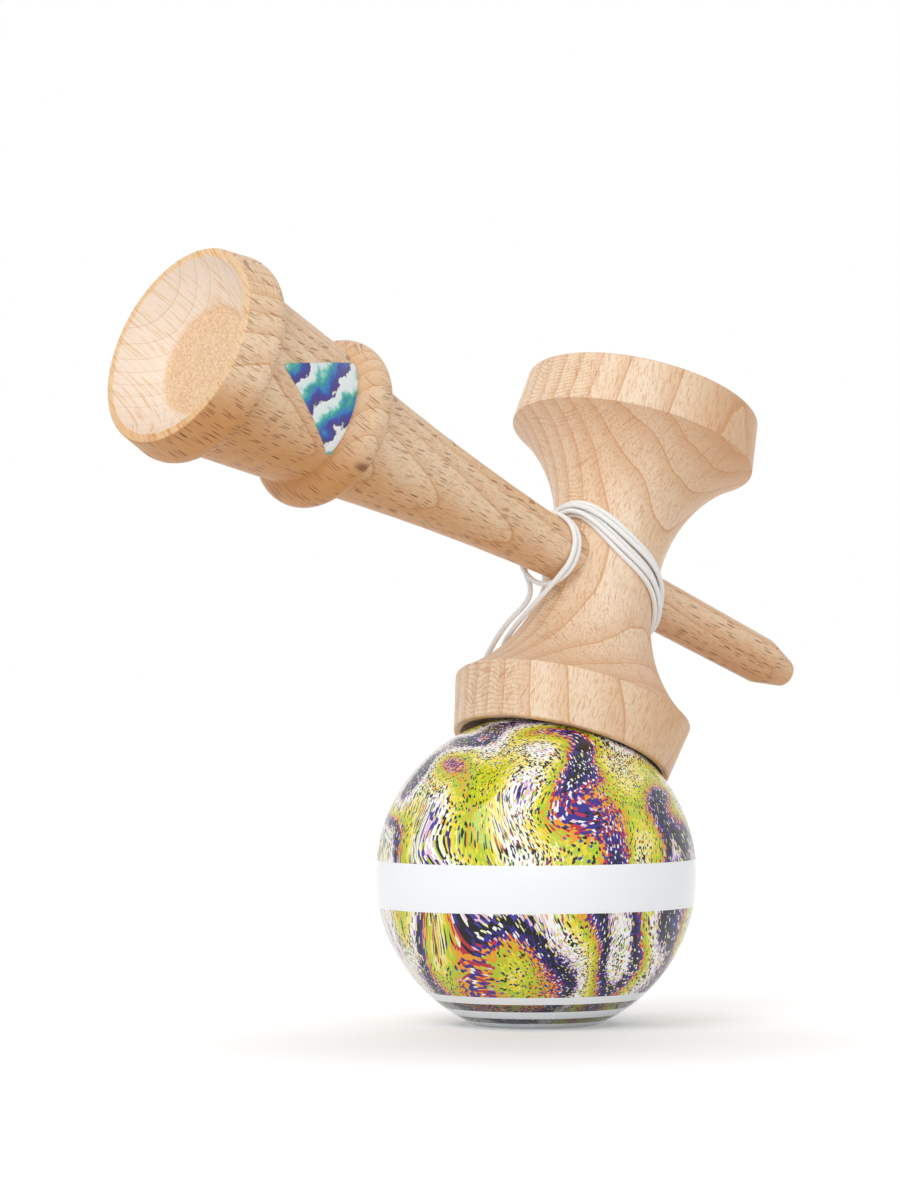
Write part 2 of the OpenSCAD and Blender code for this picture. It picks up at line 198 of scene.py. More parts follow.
loop_points = 72
step = math.tau / loop_points
settle_turn = math.radians(70)
turn_from = cross_angle + settle_turn
start_pull = Vector((0, 6.5, 0))
join_pull = 8
leave_pull = 7
cross_pull = 8
start_steps = 36
drop_steps = 24
almost_down = 0.99
cross_steps = 30
winding = [Vector((cross_hole_x, waist_r, 0)), Vector((cross_hole_x, waist_r + string_d, 0))]
into_turn = (turn_point(turn_from) - turn_point(turn_from + step)).normalized() * join_pull
winding += bend_between(winding[-1], start_pull, turn_point(turn_from), into_turn, start_steps)
winding += [turn_point(turn_from + i * step) for i in range(int((last_turn - turn_from) / step) + 1)]
winding += [drop_point(i / drop_steps) for i in range(1, drop_steps + 1)]
out_of_drop = (drop_point(1) - drop_point(almost_down)).normalized() * leave_pull
ken_first = ken_turn_point(ken_turn_from)
into_ken = (ken_first - ken_turn_point(ken_turn_from + step)).normalized() * cross_pull
winding += bend_between(drop_point(1), out_of_drop, ken_first, into_ken, cross_steps)
winding += [ken_turn_point(ken_turn_from + i * step)
            for i in range(int((ken_turn_to - ken_turn_from) / step) + 1)]
winding_path = [on_handle(*point) for point in winding]


def linear(colour):
    channels = [int(colour[i:i + 2], 16) / 255 for i in (1, 3, 5)]
    return (*[c / 12.92 if c <= 0.04045 else ((c + 0.055) / 1.055) ** 2.4 for c in channels], 1)


def new_material(name):
    material = bpy.data.materials.new(name)
    material.use_nodes = True
    return material, material.node_tree, material.node_tree.nodes["Principled BSDF"]


def add_node(tree, kind, links=None, **settings):
    node = tree.nodes.new("ShaderNode" + kind)
    for name, value in settings.items():
        setattr(node, name, value)
    for socket, value in (links or {}).items():
        if isinstance(value, bpy.types.NodeSocket):
            tree.links.new(value, node.inputs[socket])
        else:
            node.inputs[socket].default_value = value
    return node.outputs[0]


# Braided polyester: two families of fine yarns cross over each other, so the white has a faint diamond
# hatch and a soft sheen; the dips between the yarns are painted a little greyer, as painted shade. The yarns
# are drawn 0.45 mm wide, coarser than life, so that they show.
def braided_polyester():
    yarn = 0.45
    yarns_round = 6
    yarn_height = 0.06
    material, tree, shader = new_material("polyester string, white braid")
    uv = add_node(tree, "UVMap", uv_map="braid")
    along = add_node(tree, "SeparateXYZ", {0: uv})
    round_string = along.node.outputs[1]
    crossings = []
    for turn in (1, -1):
        lean = add_node(tree, "Math", {0: round_string, 1: turn * yarns_round}, operation="MULTIPLY")
        phase = add_node(tree, "Math", {0: along, 1: 1 / (2 * yarn), 2: lean}, operation="MULTIPLY_ADD")
        angle = add_node(tree, "Math", {0: phase, 1: math.tau}, operation="MULTIPLY")
        crossings.append(add_node(tree, "Math", {0: angle}, operation="SINE"))
    braid = add_node(tree, "Math", {0: crossings[0], 1: crossings[1]}, operation="MULTIPLY")
    yarn_height_and_shade = add_node(tree, "MapRange", {0: braid, 1: -1, 2: 1, 3: 0, 4: 1})
    # The same height paints the dips between yarns a little greyer: painted shade.
    colour = add_node(tree, "Mix", {0: yarn_height_and_shade, 6: linear("#EFEFEE"), 7: linear("#FDFDFC")}, data_type="RGBA")
    tree.links.new(colour.node.outputs[2], shader.inputs["Base Color"])
    bump = add_node(tree, "Bump", {"Height": yarn_height_and_shade, "Strength": 0.5, "Distance": yarn_height * MM})
    tree.links.new(bump, shader.inputs["Normal"])
    shader.inputs["Roughness"].default_value = 0.55
    shader.inputs["Sheen Weight"].default_value = 0.2
    return material


string_material = braided_polyester()


def string_along(name, path, closed=False):
    curve = bpy.data.curves.new(name, "CURVE")
    curve.dimensions = "3D"
    curve.bevel_depth = string_d / 2 * MM
    curve.bevel_resolution = 4
    spline = curve.splines.new("POLY")
    spline.points.add(len(path) - 1)
    for point, place in zip(spline.points, path):
        point.co = (*place, 1)
    spline.use_cyclic_u = closed
    rope = bpy.data.objects.new(name, curve)
    bpy.context.scene.collection.objects.link(rope)
    mesh = bpy.data.meshes.new_from_object(rope.evaluated_get(bpy.context.evaluated_depsgraph_get()))
    bpy.data.objects.remove(rope)
    mesh.name = name
    sides = len(mesh.vertices) // len(path)
    run = [0.0]
    for a, b in zip(path, path[1:]):
        run.append(run[-1] + (b - a).length / MM)
    for layer in list(mesh.uv_layers):
        mesh.uv_layers.remove(layer)
    braid = mesh.uv_layers.new(name="braid")
    for face in mesh.polygons:
        places = [divmod(v, sides) for v in face.vertices]
        seam = {0, sides - 1} <= {side for _, side in places}
        ring_seam = closed and {0, len(path) - 1} <= {ring for ring, _ in places}
        for corner, (ring, side) in zip(face.loop_indices, places):
            share = 1 if seam and side == 0 else side / sides
            braid.data[corner].uv = (run[-1] if ring_seam and ring == 0 else run[ring], share)
        face.use_smooth = True
    shape = bmesh.new()
    shape.from_mesh(mesh)
    bmesh.ops.holes_fill(shape, edges=[edge for edge in shape.edges if edge.is_boundary], sides=sides)
    shape.to_mesh(mesh)
    shape.free()
    mesh.materials.clear()
    mesh.materials.append(string_material)
    piece = bpy.data.objects.new(name, mesh)
    bpy.context.scene.collection.objects.link(piece)
    return piece


winding_string = string_along("winding_string", winding_path)
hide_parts("string_winding")
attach(winding_string, "sarado")

# String from the spindle to the ball: the same cord goes down behind the lower flare, over the edge of the
# small cup with a little slack, under the rim, and into the hole at the top of the ball.
lead_points = [
    (-14.9, 6.9, -1.4), (-14, 6, -4.4), (-13.3, 4.6, -7), (-13.1, 4.2, -9.4), (-13.5, 5, -11.7),
    (-13.9, 6.5, -13.6), (-13.8, 8.5, -15.6), (-13.1, 11, -17.8), (-11.6, 14.2, -20.2), (-9.6, 17.4, -22.4),
    (-7.6, 19.8, -23.6), (-5.8, 21.6, -24.4), (-4.2, 24.6, -27.4), (-2.6, 26.4, -31), (-1.2, 27.4, -35),
    (-0.4, 27.7, -39.2), (0, 26.9, -41.4), (0.2, 25.1, -42.2), (0.2, 23.3, -41.4), (0.1, 21.7, -39.9),
    (-0.1, 20, -38.3), (-0.6, 18.6, -36.9), (-1.8, 16, -34.4), (-3.6, 12.6, -31.9), (-6.2, 9.4, -30.1),
    (-8.8, 6.6, -29.2), (-11.2, 4, -28.9), (-12.5, 1.4, -28.9), (-12.8, -0.9, -29.2), (-12.6, -2.2, -29.6),
    (-12.2, -2.95, -30.5)]
steps_per_point = 6
ball_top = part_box("string_bead_end")[1].z
string_mouth = Vector((0, 0, ball_top))
lead_corners = [winding_path[-1]] + [on_handle(*point) for point in lead_points]
lead_corners += [string_mouth + Vector((0, 0, string_d * MM)), string_mouth]


def smooth_path(corners, steps):
    points = []
    for i in range(len(corners) - 1):
        a, b, c, d = (corners[min(max(j, 0), len(corners) - 1)] for j in range(i - 1, i + 3))
        for j in range(steps):
            k = j / steps
            points.append(0.5 * (2 * b + (c - a) * k + (2 * a - 5 * b + 4 * c - d) * k * k
                                 + (3 * b - a - 3 * c + d) * k ** 3))
    return points + [corners[-1]]


lead_path = smooth_path(lead_corners, steps_per_point)
lead_string = string_along("lead_string", lead_path)
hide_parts("string_lead")
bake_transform(lead_string)

# Ends of the string: one goes through the back of the waist into the spindle, the other down through the
# ball and its bead. Each ends in a tight overhand knot against what it holds, drawn as a closed trefoil.
ken_end_points = 13
bead_end_points = 19


def middle_of(node):
    low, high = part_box(node)
    return (low + high) / 2


def straight_path(start, end, points):
    return [start.lerp(end, i / (points - 1)) for i in range(points)]


ken_knot_centre = middle_of("ken_knot")
ken_end_string = string_along(
    "ken_end_string", straight_path(ken_knot_centre, winding_path[0], ken_end_points))
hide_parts("string_ken_end")
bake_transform(ken_end_string)
bead_knot_centre = middle_of("bead_knot")
bead_end_string = string_along(
    "bead_end_string", straight_path(bead_knot_centre, string_mouth, bead_end_points))
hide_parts("string_bead_end")
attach(bead_end_string, "bead")


def overhand_knot(name, centre, axis):
    knot_steps = 96
    reach = 0.36 * MM
    rise = 1.4
    turn = Vector((0, 0, 1)).rotation_difference(axis)
    path = []
    for i in range(knot_steps):
        t = math.tau * i / knot_steps
        trefoil = Vector((math.sin(t) + 2 * math.sin(2 * t), math.cos(t) - 2 * math.cos(2 * t),
                          -rise * math.sin(3 * t)))
        path.append(centre + turn @ trefoil * reach)
    return string_along(name, path, closed=True)


ken_knot = overhand_knot("ken_knot_tied", ken_knot_centre, handle_side)
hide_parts("ken_knot")
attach(ken_knot, "ken")
bead_knot = overhand_knot("bead_knot_tied", bead_knot_centre, Vector((0, 0, 1)))
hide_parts("bead_knot")
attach(bead_knot, "bead")


# Sarado: the crosspiece, turned from one block of beech along its own axis, with a big cup, a waist that the
# spindle goes through, and a small cup. Its growth layers stand across the handle, so the flares show arcs.
# A cup is given by its mouth's place along the grain, the way it opens, its mouth's radius and its depth.
Cup = namedtuple("Cup", "mouth way mouth_r depth")
big_cup = Cup(36.8, 1, 21.55, 11)
small_cup = Cup(-37, -1, 19.7, 11)


def dress(node, material):
    piece = frame["nodes"][node]
    piece.data.materials.clear()
    piece.data.materials.append(material)
    for face in piece.data.polygons:
        face.material_index = 0


# Beech: pale tan wood, turned and waxed. Wide growth layers end in a thin darker line, rays show as short
# brown dashes on the flat of the layers and as orange ripples across them, and slopes that cut the grain are
# darker. A darker heart tone lies towards one side; where that side is turned from the light, it is partly
# painted shade. A cup's wall is painted paler, a painted pool of light, with fine end lines; its floor is
# darker and grainy, and its rim shows orange end grain. A pin knot is one dark spot. Counts per millimetre
# and sizes go along the grain, out from the pith and round it.
def turned_beech(name, grain, radial, pith, layer_width, tones, fleck, heart_and_shade, cups=(), pin_knot=None):
    material, tree, shader = new_material(name)
    pale, tan, late, heart_and_shade_tone, ray = (linear(tone) for tone in tones)
    tangent = grain.cross(radial)
    axes = Matrix((grain, radial, tangent))
    coordinates = add_node(tree, "TexCoord").node
    normal = coordinates.outputs["Normal"]
    wood = add_node(tree, "Mapping", {
        0: coordinates.outputs["Object"], "Location": -(axes @ handle_centre) / MM,
        "Rotation": axes.to_euler(), "Scale": (1 / MM,) * 3})
    along_grain = add_node(tree, "SeparateXYZ", {0: wood})

    patches_per_mm = (0.03, 0.1, 0.1)
    patch_map = add_node(tree, "Mapping", {0: wood, "Scale": patches_per_mm})
    patch = add_node(tree, "TexNoise", {"Vector": patch_map, "Scale": 1, "Detail": 3})
    colour = add_node(tree, "Mix", {0: patch, 6: pale, 7: tan}, data_type="RGBA").node.outputs[2]
    # The heart tone is partly the wood's own colour and partly painted shade on the side turned from the
    # light.
    heart_and_shade_way, heart_and_shade_from, heart_and_shade_to = heart_and_shade
    toward_heart_and_shade = add_node(tree, "VectorMath", {0: wood, 1: axes @ heart_and_shade_way},
                         operation="DOT_PRODUCT").node.outputs["Value"]
    heart_and_shade_share = add_node(tree, "MapRange", {0: toward_heart_and_shade, 1: heart_and_shade_from, 2: heart_and_shade_to, 3: 0, 4: 1},
                       interpolation_type="SMOOTHSTEP")
    colour = add_node(tree, "Mix", {0: heart_and_shade_share, 6: colour, 7: heart_and_shade_tone}, data_type="RGBA").node.outputs[2]

    drifts_per_mm = (0.012, 0.05, 0.05)
    layer_wander = 1.6
    drift_map = add_node(tree, "Mapping", {0: wood, "Scale": drifts_per_mm})
    drift = add_node(tree, "TexNoise", {"Vector": drift_map, "Scale": 1, "Detail": 3, "Roughness": 0.4})
    off_pith = add_node(tree, "Mapping", {0: wood, "Location": (0, *pith), "Scale": (0, 1, 1)})
    reach = add_node(tree, "VectorMath", {0: off_pith}, operation="LENGTH").node.outputs["Value"]
    count = add_node(tree, "Math", {0: reach, 1: 1 / layer_width}, operation="MULTIPLY")
    wander = add_node(tree, "Math", {0: drift, 1: layer_wander, 2: count}, operation="MULTIPLY_ADD")
    layer = add_node(tree, "Math", {0: wander}, operation="FRACT")
    late_wood = add_node(tree, "MapRange", {0: layer, 1: 0.35, 2: 1.0, 3: 0, 4: 0.3},
                         interpolation_type="SMOOTHSTEP")
    line = add_node(tree, "MapRange", {0: layer, 1: 0.93, 2: 0.975, 3: 0, 4: 0.32},
                    interpolation_type="SMOOTHSTEP")
    late_sum = add_node(tree, "Math", {0: late_wood, 1: line}, operation="ADD")
    colour = add_node(tree, "Mix", {0: late_sum, 6: colour, 7: late}, data_type="RGBA").node.outputs[2]

    fibres_per_mm = (0.3, 2.2, 2.2)
    vessels_per_mm = (0.8, 3.4, 3.4)
    fibre_map = add_node(tree, "Mapping", {0: wood, "Scale": fibres_per_mm})
    fibre = add_node(tree, "TexNoise", {"Vector": fibre_map, "Scale": 1, "Detail": 3, "Roughness": 0.65})
    vessel_map = add_node(tree, "Mapping", {0: wood, "Scale": vessels_per_mm})
    vessel = add_node(tree, "TexNoise", {"Vector": vessel_map, "Scale": 1, "Detail": 1})
    both = add_node(tree, "Math", {0: fibre, 1: vessel}, operation="ADD")
    fibre_share = add_node(tree, "MapRange", {0: both, 1: 1.02, 2: 0.72, 3: 0, 4: 0.5})
    colour = add_node(tree, "Mix", {0: fibre_share, 6: colour, 7: late}, data_type="RGBA").node.outputs[2]

    end_facing = add_node(tree, "VectorMath", {0: normal, 1: grain},
                          operation="DOT_PRODUCT").node.outputs["Value"]
    end_lean = add_node(tree, "Math", {0: end_facing}, operation="ABSOLUTE")
    end_share = add_node(tree, "MapRange", {0: end_lean, 1: 0.15, 2: 0.8, 3: 0, 4: 0.3})
    colour = add_node(tree, "Mix", {0: end_share, 6: colour, 7: late}, data_type="RGBA").node.outputs[2]

    mouth_margin = 0.05
    floor_margin = 0.2
    from_axis = add_node(tree, "Mapping", {0: wood, "Scale": (0, 1, 1)})
    radius = add_node(tree, "VectorMath", {0: from_axis}, operation="LENGTH").node.outputs["Value"]
    walls = []
    sinks = []
    for cup in cups:
        sunk = add_node(tree, "Math", {0: along_grain, 1: -cup.way, 2: cup.mouth * cup.way},
                        operation="MULTIPLY_ADD")
        in_mouth = add_node(tree, "Math", {0: radius, 1: cup.mouth_r + mouth_margin}, operation="LESS_THAN")
        over_floor = add_node(tree, "Math", {0: sunk, 1: cup.depth + floor_margin}, operation="LESS_THAN")
        walls.append(add_node(tree, "Math", {0: in_mouth, 1: over_floor}, operation="MULTIPLY"))
        sinks.append(sunk)

    ray_size = (3.6, 9, 0.31)
    rays_on_wall = 0.4
    ray_map = add_node(tree, "Mapping", {0: wood, "Scale": [1 / size for size in ray_size]})
    rays = add_node(tree, "TexVoronoi", {"Vector": ray_map, "Scale": 1, "Randomness": 1})
    spindle = add_node(tree, "MapRange", {0: rays, 1: 0.37, 2: 0.27, 3: 0, 4: 1},
                       interpolation_type="SMOOTHSTEP")
    chance = add_node(tree, "SeparateColor", {0: rays.node.outputs["Color"]})
    deep = add_node(tree, "MapRange", {0: chance, 1: 0.3, 2: 0.75, 3: 0.12, 4: fleck})
    fleck_side = add_node(tree, "MapRange", {0: heart_and_shade_share, 1: 0, 2: 1, 3: 0.6, 4: 1})
    ray_share = add_node(tree, "Math", {0: deep, 1: fleck_side}, operation="MULTIPLY")
    ray_share = add_node(tree, "Math", {0: spindle, 1: ray_share}, operation="MULTIPLY")
    for wall in walls:
        off_wall = add_node(tree, "MapRange", {0: wall, 1: 0, 2: 1, 3: 1, 4: rays_on_wall})
        ray_share = add_node(tree, "Math", {0: ray_share, 1: off_wall}, operation="MULTIPLY")
    colour = add_node(tree, "Mix", {0: ray_share, 6: colour, 7: ray}, data_type="RGBA").node.outputs[2]

    if pin_knot:
        knot_place, knot_size = pin_knot
        knot_offset = [-at / size for at, size in zip(axes @ knot_place, knot_size)]
        knot_map = add_node(tree, "Mapping", {0: wood, "Location": knot_offset,
                                              "Scale": [1 / size for size in knot_size]})
        off_knot = add_node(tree, "VectorMath", {0: knot_map}, operation="LENGTH").node.outputs["Value"]
        knot_share = add_node(tree, "MapRange", {0: off_knot, 1: 1, 2: 0.3, 3: 0, 4: 0.8},
                              interpolation_type="SMOOTHSTEP")
        colour = add_node(tree, "Mix", {0: knot_share, 6: colour, 7: ray}, data_type="RGBA").node.outputs[2]

    ripple_spacing = 0.8
    ripple_wander = 10
    ripple_drifts_per_mm = (0.05, 0.09, 0.07)
    facing = add_node(tree, "VectorMath", {0: normal, 1: tangent},
                      operation="DOT_PRODUCT").node.outputs["Value"]
    across = add_node(tree, "Math", {0: facing}, operation="ABSOLUTE")
    quarter = add_node(tree, "MapRange", {0: across, 1: 0.84, 2: 0.98, 3: 0, 4: 0.55},
                       interpolation_type="SMOOTHSTEP")
    ripple_map = add_node(tree, "Mapping", {0: wood, "Scale": ripple_drifts_per_mm})
    ripple_drift = add_node(tree, "TexNoise", {"Vector": ripple_map, "Scale": 1, "Detail": 2})
    ripple_count = add_node(tree, "Math", {0: along_grain, 1: 1 / ripple_spacing}, operation="MULTIPLY")
    ripple_phase = add_node(tree, "Math", {0: ripple_drift, 1: ripple_wander, 2: ripple_count},
                            operation="MULTIPLY_ADD")
    ripple = add_node(tree, "Math", {0: ripple_phase}, operation="FRACT")
    ripple_line = add_node(tree, "MapRange", {0: ripple, 1: 0.66, 2: 0.95, 3: 0, 4: 1},
                           interpolation_type="SMOOTHSTEP")
    ripple_share = add_node(tree, "Math", {0: ripple_line, 1: quarter}, operation="MULTIPLY")
    colour = add_node(tree, "Mix", {0: ripple_share, 6: colour, 7: linear("#CE8C48")},
                      data_type="RGBA").node.outputs[2]

    end_lines_per_mm = (0.05, 0.2, 3.6)
    grits_per_mm = (1.2, 2.6, 2.6)
    lit_wall_share = 0.8
    floor_fade_from = 0.9
    floor_fade_to = 0.15
    rim_depth = 0.12
    rim_reach = 2
    orange_share = 0.6
    end_map = add_node(tree, "Mapping", {0: wood, "Scale": end_lines_per_mm})
    end_noise = add_node(tree, "TexNoise", {"Vector": end_map, "Scale": 1, "Detail": 2})
    end_line = add_node(tree, "MapRange", {0: end_noise, 1: 0.54, 2: 0.64, 3: 0, 4: 1})
    grit_map = add_node(tree, "Mapping", {0: wood, "Scale": grits_per_mm})
    grit = add_node(tree, "TexNoise", {"Vector": grit_map, "Scale": 1, "Detail": 2})
    grit_depth = add_node(tree, "MapRange", {0: grit, 1: 0.35, 2: 0.65, 3: 0, 4: 1})
    for wall, sunk, cup in zip(walls, sinks, cups):
        # The cup's wall is painted paler than the wood: a painted pool of light, with fine end lines.
        lit_pale_wall = add_node(tree, "Mix", {0: end_line, 6: linear("#F7E9DA"), 7: linear("#EACBA6")},
                          data_type="RGBA").node.outputs[2]
        ringed = add_node(tree, "Mix", {0: line, 6: lit_pale_wall, 7: late}, data_type="RGBA").node.outputs[2]
        wall_share = add_node(tree, "Math", {0: wall, 1: lit_wall_share}, operation="MULTIPLY")
        colour = add_node(tree, "Mix", {0: wall_share, 6: colour, 7: ringed},
                          data_type="RGBA").node.outputs[2]
        at_floor = add_node(tree, "MapRange", {
            0: sunk, 1: cup.depth - floor_fade_from, 2: cup.depth - floor_fade_to, 3: 0, 4: 0.75},
            interpolation_type="SMOOTHSTEP")
        floor_share = add_node(tree, "Math", {0: wall, 1: at_floor}, operation="MULTIPLY")
        grainy_floor = add_node(tree, "Mix", {0: grit_depth, 6: linear("#F2CFA4"), 7: linear("#D3A06B")},
                         data_type="RGBA").node.outputs[2]
        colour = add_node(tree, "Mix", {0: floor_share, 6: colour, 7: grainy_floor},
                          data_type="RGBA").node.outputs[2]
        at_rim = add_node(tree, "Math", {0: sunk, 1: rim_depth}, operation="LESS_THAN")
        near_mouth = add_node(tree, "Math", {0: sunk, 1: -rim_reach}, operation="GREATER_THAN")
        rim = add_node(tree, "Math", {0: at_rim, 1: near_mouth}, operation="MULTIPLY")
        rim_share = add_node(tree, "Math", {0: rim, 1: orange_share}, operation="MULTIPLY")
        rim_tone = add_node(tree, "Mix", {0: end_line, 6: linear("#F4D3A4"), 7: linear("#DD9A50")},
                            data_type="RGBA").node.outputs[2]
        colour = add_node(tree, "Mix", {0: rim_share, 6: colour, 7: rim_tone},
                          data_type="RGBA").node.outputs[2]
    tree.links.new(colour, shader.inputs["Base Color"])

    ray_dent = 0.8
    dent_depth = 0.05
    satin = add_node(tree, "MapRange", {0: fibre, 1: 0.3, 2: 0.7, 3: 0.4, 4: 0.55})
    tree.links.new(satin, shader.inputs["Roughness"])
    dents = add_node(tree, "Math", {0: ray_share, 1: -ray_dent, 2: fibre}, operation="MULTIPLY_ADD")
    bump = add_node(tree, "Bump", {"Height": dents, "Strength": 0.3, "Distance": dent_depth * MM})
    tree.links.new(bump, shader.inputs["Normal"])
    return material


# Its heart tone lies on the side turned from the key light as it rests: partly heart colour, partly painted
# shade.
sarado_beech = turned_beech(
    "beech, turned and waxed crosspiece", grain=handle_up, radial=-handle_side, pith=(75, 6), layer_width=4.1,
    tones=("#F8E5CE", "#EFD1AD", "#CC8B4E", "#D39A60", "#B0622A"), fleck=0.5,
    heart_and_shade=(handle_fore * 0.5 - handle_side * 0.87, 6, 38), cups=(big_cup, small_cup))
dress("sarado", sarado_beech)

# Ken: the spindle, turned from beech along its length, with a cup in its base, a head, a neck, a slip ring, a
# long hollow taper that is pushed through the crosspiece, and a blunt spike. The slip ring has a pin knot.
base_cup = Cup(-110, -1, 17.4, 7)
ring_knot_place = handle_fore * -72.3 - handle_side * 12.7 - handle_up * 9.5
ring_knot_size = (3, 3, 1.3)
# Its heart tone lies on its underside as it rests: partly heart colour, partly painted shade.
ken_beech = turned_beech(
    "beech, turned and waxed spindle", grain=handle_fore,
    radial=(handle_side * -0.75 - handle_up * 0.66).normalized(), pith=(45, 4), layer_width=2.7,
    tones=("#F7DFC1", "#EDC9A0", "#CA8A4E", "#CE945A", "#7E4016"), fleck=1.0,
    heart_and_shade=(handle_fore * 0.06 - handle_up, -1, 9), cups=(base_cup,),
    pin_knot=(ring_knot_place, ring_knot_size))
dress("ken", ken_beech)


# Tama: a turned wooden ball with a printed, clear-lacquered skin. A white band runs round its middle and thin
# white lines round its foot; the print is a marbled drift of lime, yellow, orange, indigo and black in small
# strokes. The spike hole is bare wood.
def lay_inks(ramp, inks):
    stops = ramp.node.color_ramp.elements
    while len(stops) < len(inks):
        stops.new(0.5)
    for stop, (position, ink) in zip(stops, inks):
        stop.position = position
        stop.color = linear(ink)


def lacquered_print():
    ball_r = 30.25
    ball_z = 28.04
    skin = 0.25
    foot_skin = 0.2
    white_bands = ((-5.82, 3.04), (-23.06, -21.66), (-25.98, -24.57), (-60, -27.02))
    foot_print_z = -23.1
    foot_dark = 0.7
    stroke = Vector((0.3, 0.3, 0.75))
    pushes_per_mm = 0.032
    push_reach = 38
    drifts_per_mm = 0.03
    ink_rounds = 4.6
    lower_shift = 0.4
    jitter_reach = 0.09
    stray_from = 0.87
    stray_jump = 0.37
    material, tree, shader = new_material("clear lacquer over printed wood")
    place = add_node(tree, "TexCoord").node.outputs["Object"]
    ball = add_node(tree, "Mapping", {0: place, "Location": (0, 0, -ball_z), "Scale": (1 / MM,) * 3})
    height = add_node(tree, "SeparateXYZ", {0: ball}).node.outputs[2]
    below = add_node(tree, "Math", {0: height, 1: white_bands[0][0]}, operation="LESS_THAN")
    drawn_out = add_node(tree, "Mapping", {0: ball, "Location": (40, 0, 0), "Rotation": (0.25, 0.1, 0),
                                           "Scale": (1.1, 1.1, 0.4)})
    flow = add_node(tree, "Mix", {0: below, 4: ball, 5: drawn_out}, data_type="VECTOR").node.outputs[1]
    slow = add_node(tree, "TexNoise", {"Vector": flow, "Scale": pushes_per_mm, "Detail": 1})
    push = add_node(tree, "VectorMath", {0: slow.node.outputs["Color"], 1: (push_reach,) * 3},
                    operation="MULTIPLY")
    pushed = add_node(tree, "VectorMath", {0: flow, 1: push}, operation="ADD")
    in_strokes = add_node(tree, "Mapping", {0: pushed, "Scale": tuple(1 / size for size in stroke)})
    strokes = add_node(tree, "TexVoronoi", {"Vector": in_strokes, "Scale": 1, "Randomness": 0.45})
    stroke_at = add_node(tree, "VectorMath", {0: strokes.node.outputs["Position"], 1: stroke},
                         operation="MULTIPLY")
    chance = add_node(tree, "SeparateColor", {0: strokes.node.outputs["Color"]}).node
    drift = add_node(tree, "TexNoise", {"Vector": stroke_at, "Scale": drifts_per_mm, "Detail": 1.5,
                                        "Distortion": 0.4})
    jitter = add_node(tree, "MapRange", {0: chance.outputs[0], 1: 0, 2: 1, 3: -jitter_reach, 4: jitter_reach})
    level = add_node(tree, "Math", {0: below, 1: lower_shift, 2: jitter}, operation="MULTIPLY_ADD")
    tide = add_node(tree, "Math", {0: drift, 1: ink_rounds, 2: level}, operation="MULTIPLY_ADD")
    stray = add_node(tree, "Math", {0: chance.outputs[1], 1: stray_from}, operation="GREATER_THAN")
    strayed = add_node(tree, "Math", {0: stray, 1: stray_jump, 2: tide}, operation="MULTIPLY_ADD")
    phase = add_node(tree, "Math", {0: strayed}, operation="FRACT")
    ramp = add_node(tree, "ValToRGB", {0: phase})
    ramp.node.color_ramp.interpolation = "CONSTANT"
    lay_inks(ramp, (
        (0.0, "#FCFCF8"), (0.06, "#131218"), (0.12, "#F4F3AE"), (0.2, "#F2DC34"), (0.3, "#B6D030"),
        (0.42, "#F2A024"), (0.5, "#C02A44"), (0.54, "#34298C"), (0.64, "#131218"), (0.81, "#4A3AA0"),
        (0.87, "#EBC6DC"), (0.92, "#FCFCF8")))
    foot_print = add_node(tree, "Math", {0: height, 1: foot_print_z}, operation="LESS_THAN")
    foot_share = add_node(tree, "Math", {0: foot_print, 1: foot_dark}, operation="MULTIPLY")
    colour = add_node(tree, "Mix", {0: foot_share, 6: ramp, 7: linear("#15161A")},
                      data_type="RGBA").node.outputs[2]
    for low, high in white_bands:
        over = add_node(tree, "Math", {0: height, 1: low}, operation="GREATER_THAN")
        under = add_node(tree, "Math", {0: height, 1: high}, operation="LESS_THAN")
        band = add_node(tree, "Math", {0: over, 1: under}, operation="MULTIPLY")
        colour = add_node(tree, "Mix", {0: band, 6: colour, 7: linear("#F6F9FC")},
                          data_type="RGBA").node.outputs[2]
    reach = add_node(tree, "VectorMath", {0: ball}, operation="LENGTH").node.outputs["Value"]
    inside = add_node(tree, "Math", {0: reach, 1: ball_r - skin}, operation="LESS_THAN")
    off_foot = add_node(tree, "Math", {0: height, 1: foot_skin - ball_z}, operation="GREATER_THAN")
    bare = add_node(tree, "Math", {0: inside, 1: off_foot}, operation="MULTIPLY")
    colour = add_node(tree, "Mix", {0: bare, 6: colour, 7: linear("#D8B184")},
                      data_type="RGBA").node.outputs[2]
    tree.links.new(colour, shader.inputs["Base Color"])
    gloss = add_node(tree, "MapRange", {0: bare, 1: 0, 2: 1, 3: 0.08, 4: 0.6})
    tree.links.new(gloss, shader.inputs["Roughness"])
    return material


dress("tama", lacquered_print())

# Bead: a small bead, turned and drilled from beech. It lies inside the ball with the string knotted behind
# it, and lets the string turn.
bead_beech = turned_beech(
    "beech, small turned bead", grain=Vector((0, 0, 1)), radial=Vector((1, 0, 0)), pith=(30, 2),
    layer_width=2.5, tones=("#E6C8A6", "#D6AF87", "#BE8F62", "#C4925F", "#6E4220"), fleck=0.6,
    heart_and_shade=(Vector((1, 0, 0)), 0, 10))
dress("tama_bead", bead_beech)


